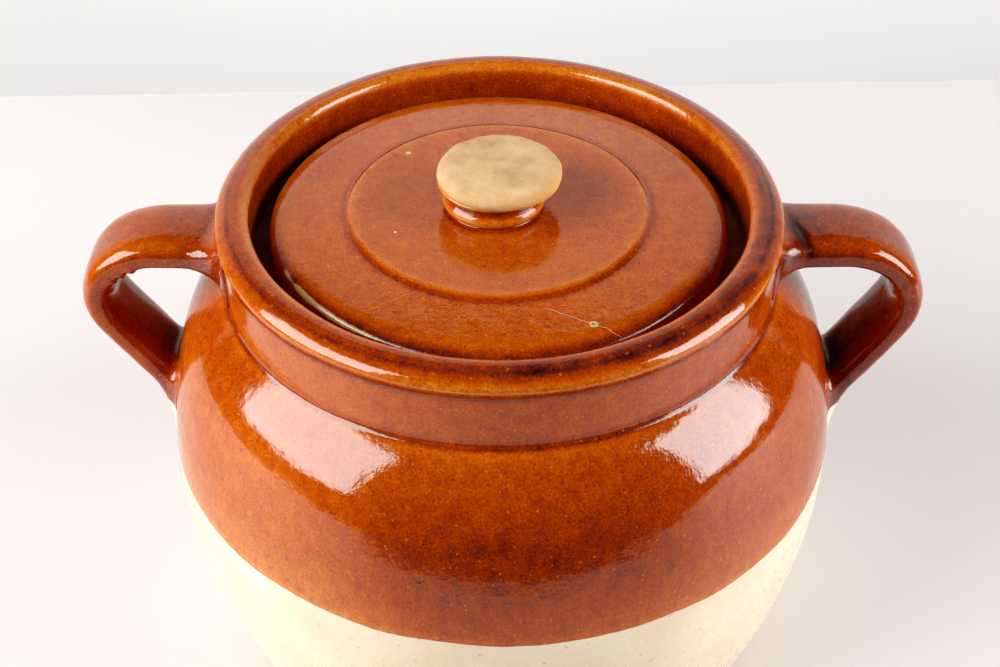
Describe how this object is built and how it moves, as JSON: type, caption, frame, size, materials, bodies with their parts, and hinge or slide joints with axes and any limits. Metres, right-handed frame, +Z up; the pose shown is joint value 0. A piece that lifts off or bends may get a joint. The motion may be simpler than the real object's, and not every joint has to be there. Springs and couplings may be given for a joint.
{
  "type": "lidded stoneware crock",
  "caption": "Round-bellied two-tone stoneware crock with two strap handles and a drop-in knobbed lid that lifts off",
  "frame": {"origin": "centre of the foot, on the surface that the crock stands on", "axes": "+Z up along the pot's axis, +X through the right handle, -Y towards the viewer"},
  "size_m": [0.2526, 0.2074, 0.1747],
  "materials": {
    "bare_clay": "unglazed buff stoneware",
    "brown_glaze": "glossy brown slip glaze",
    "cream_glaze": "glossy cream glaze",
    "liner_glaze": "glossy cream glaze"
  },
  "bodies": {
    "crock": {"crock_body": "bare_clay", "handle_left": "bare_clay", "handle_right": "bare_clay", "brown_glaze": "brown_glaze", "cream_glaze": "cream_glaze", "liner_glaze": "liner_glaze"},
    "lid": {"lid_disc": "bare_clay", "lid_knob": "bare_clay", "lid_glaze": "brown_glaze"}
  },
  "joints": [
    {"name": "lid_lift", "type": "slide", "parent": "crock", "child": "lid", "axis": [0, 0, 1], "range_m": [0, 0.07]}
  ]
}
